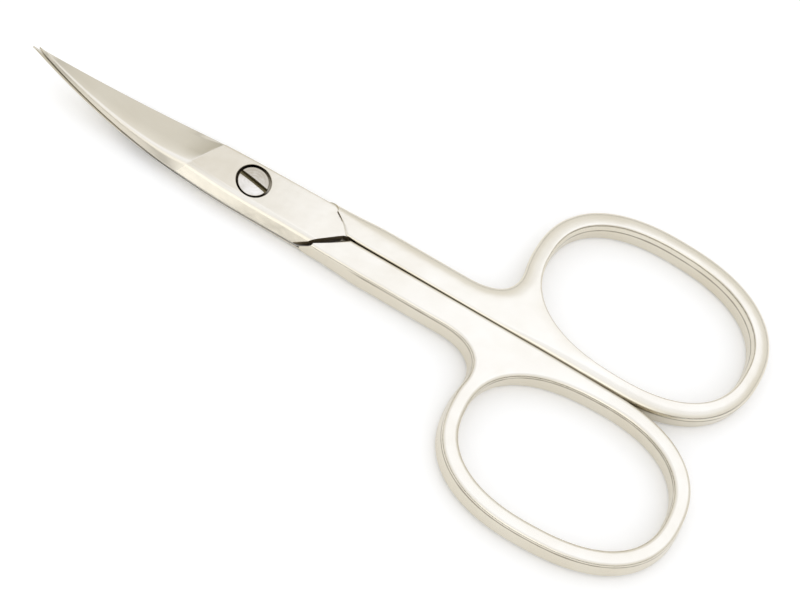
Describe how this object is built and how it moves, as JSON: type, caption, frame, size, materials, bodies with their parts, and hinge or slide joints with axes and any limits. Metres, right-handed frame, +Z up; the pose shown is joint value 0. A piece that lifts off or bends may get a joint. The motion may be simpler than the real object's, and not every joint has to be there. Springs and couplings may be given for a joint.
{
  "type": "curved cuticle scissors",
  "caption": "Small polished scissors with upward-curved pointed blades, a slotted pivot screw, slim shanks and oval finger rings.",
  "frame": {"origin": "where the pivot axis meets the surface that the scissors lie on, in the plane of the lower half's underside", "axes": "+X runs along the shanks from the pivot to the finger rings, with the blade tips at -X; +Z is up, along the pivot axis, and the blades curve up toward it; the upper half's ring is at +Y"},
  "size_m": [0.0905, 0.0442, 0.0055],
  "materials": {
    "polished_nickel": "warm bright nickel plate over forged steel, polished, with faint grinding along the blades",
    "screw_steel": "turned steel screw head, satin, with a sawn slot"
  },
  "bodies": {
    "lower_body": {"lower_half": "polished_nickel", "pivot_screw": "screw_steel"},
    "upper_body": {"upper_half": "polished_nickel"}
  },
  "joints": [
    {"name": "pivot", "type": "hinge", "parent": "lower_body", "child": "upper_body", "pos_m": [0, 0, 0.0015], "axis": [0, 0, 1], "range_deg": [0, 130]}
  ]
}
